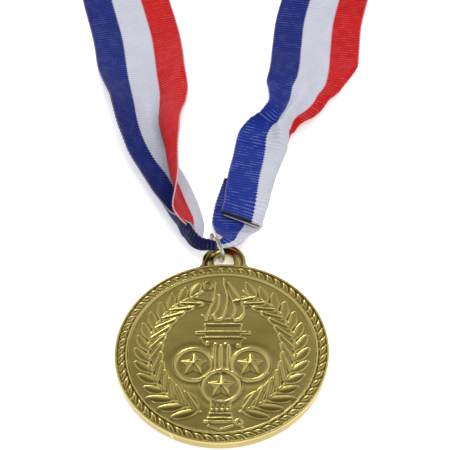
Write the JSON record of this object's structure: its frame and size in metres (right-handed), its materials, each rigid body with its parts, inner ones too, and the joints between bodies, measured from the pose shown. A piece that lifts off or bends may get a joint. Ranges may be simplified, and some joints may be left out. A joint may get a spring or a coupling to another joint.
{
  "type": "award medal on neck ribbon",
  "caption": "Round gold award medal with torch, star roundels and wreath in relief, hung by a wire ring on a striped neck ribbon.",
  "frame": {"origin": "centre of the medal's flat back, where it rests", "axes": "+Z out of the medal's face, +Y from the medal's centre towards its loop and the ribbon, +X to the right"},
  "size_m": [0.1437, 0.3834, 0.0252],
  "materials": {
    "gold_plastic": "vacuum-metallised gold, semi-gloss",
    "steel_wire": "bright plain wire",
    "ribbon_weave": "woven polyester, three equal bands: blue, white, red"
  },
  "bodies": {
    "ribbon": {"ribbon_left_leg": "ribbon_weave", "ribbon_neck_left": "ribbon_weave", "ribbon_turn_left": "ribbon_weave", "ribbon_turn_right": "ribbon_weave", "ribbon_neck_right": "ribbon_weave", "ribbon_right_leg": "ribbon_weave", "ribbon_lap_under": "ribbon_weave", "ribbon_ring_turn": "ribbon_weave"},
    "ring": {"jump_ring": "steel_wire"},
    "medal": {"medal_body": "gold_plastic"}
  },
  "joints": [
    {"name": "ring_swing", "type": "hinge", "parent": "ribbon", "child": "ring", "pos_m": [-0.0017, 0.0297, 0.005], "axis": [-1, 0, 0], "range_deg": [0, 100]},
    {"name": "medal_swing", "type": "hinge", "parent": "ring", "child": "medal", "pos_m": [0, 0.02625, 0.0022], "axis": [0, 0, 1], "range_deg": [-25, 25]}
  ]
}
